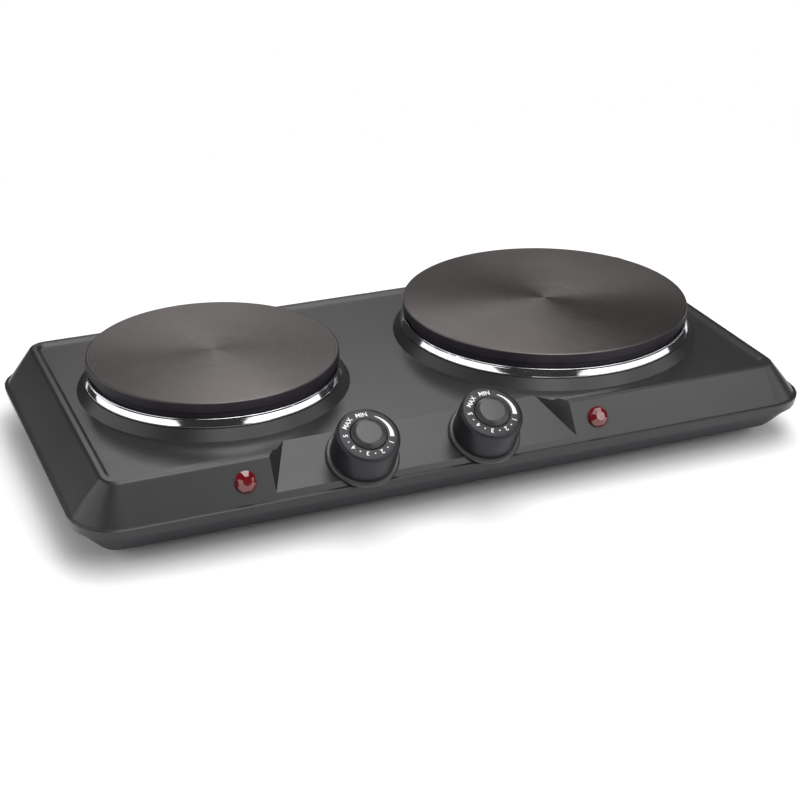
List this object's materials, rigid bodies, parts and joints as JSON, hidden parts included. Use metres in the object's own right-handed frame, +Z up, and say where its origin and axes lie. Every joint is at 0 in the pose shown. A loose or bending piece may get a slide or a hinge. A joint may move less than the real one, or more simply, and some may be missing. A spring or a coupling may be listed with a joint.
{
  "type": "double electric hot plate",
  "caption": "Grey countertop electric cooker with a small and a large round cast iron plate and turning dials on a sloped front panel.",
  "frame": {"origin": "under the middle of the whole object's bounding box, at the height of the feet's soles", "axes": "+X to the right seen from the knob side, +Y to the rear, +Z up"},
  "size_m": [0.47, 0.249, 0.0708],
  "materials": {
    "housing_paint": "satin grey stoved paint",
    "tray_paint": "dark satin paint",
    "plate_iron": "turned rings under a thin dark coating",
    "ring_chrome": "bright polished",
    "knob_plastic": "fine satin",
    "knob_trim": "silver grey, smooth",
    "red_lens": "clear red moulded facets",
    "foot_rubber": "matt black",
    "plated_steel": "zinc plated",
    "terminal_ceramic": "unglazed cream",
    "dark_moulding": "moulded heat resisting plastic",
    "heater_sheath": "heat darkened sheath",
    "brown_insulation": "wire insulation",
    "blue_insulation": "wire insulation",
    "earth_insulation": "wire insulation"
  },
  "bodies": {
    "housing": {"base_tray": "tray_paint", "cord_gland": "dark_moulding", "earth_screw": "plated_steel", "earth_wire": "earth_insulation", "foot_front_left": "foot_rubber", "foot_front_right": "foot_rubber", "foot_rear_left": "foot_rubber", "foot_rear_right": "foot_rubber", "foot_screw_front_left": "plated_steel", "foot_screw_front_right": "plated_steel", "foot_screw_rear_left": "plated_steel", "foot_screw_rear_right": "plated_steel", "left_clamp_bar": "plated_steel", "left_drip_ring": "ring_chrome", "left_feed_wire": "brown_insulation", "left_heat_shield": "plated_steel", "left_heating_coil": "heater_sheath", "left_hotplate": "plate_iron", "left_indicator_body": "dark_moulding", "left_indicator_lens": "red_lens", "left_knob_bezel": "knob_trim", "left_neutral_wire": "blue_insulation", "left_plate_stud": "plated_steel", "left_plate_terminals": "terminal_ceramic", "left_plate_wire": "brown_insulation", "left_stud_nut": "plated_steel", "left_thermostat": "dark_moulding", "left_thermostat_screw_left": "plated_steel", "left_thermostat_screw_right": "plated_steel", "mains_terminals": "terminal_ceramic", "right_clamp_bar": "plated_steel", "right_drip_ring": "ring_chrome", "right_feed_wire": "brown_insulation", "right_heat_shield": "plated_steel", "right_heating_coil": "heater_sheath", "right_hotplate": "plate_iron", "right_indicator_body": "dark_moulding", "right_indicator_lens": "red_lens", "right_knob_bezel": "knob_trim", "right_neutral_wire": "blue_insulation", "right_plate_stud": "plated_steel", "right_plate_terminals": "terminal_ceramic", "right_plate_wire": "brown_insulation", "right_stud_nut": "plated_steel", "right_thermostat": "dark_moulding", "right_thermostat_screw_left": "plated_steel", "right_thermostat_screw_right": "plated_steel", "top_shell": "housing_paint"},
    "left_control": {"left_knob": "knob_plastic", "left_knob_cap": "knob_trim", "left_thermostat_shaft": "plated_steel"},
    "right_control": {"right_knob": "knob_plastic", "right_knob_cap": "knob_trim", "right_thermostat_shaft": "plated_steel"}
  },
  "joints": [
    {"name": "left_knob_turn", "type": "hinge", "parent": "housing", "child": "left_control", "pos_m": [-0.0646, -0.0981, 0.03918], "axis": [0, -0.4848, 0.8746], "range_deg": [0, 313]},
    {"name": "right_knob_turn", "type": "hinge", "parent": "housing", "child": "right_control", "pos_m": [0.0126, -0.0981, 0.03918], "axis": [0, -0.4848, 0.8746], "range_deg": [0, 313]}
  ]
}
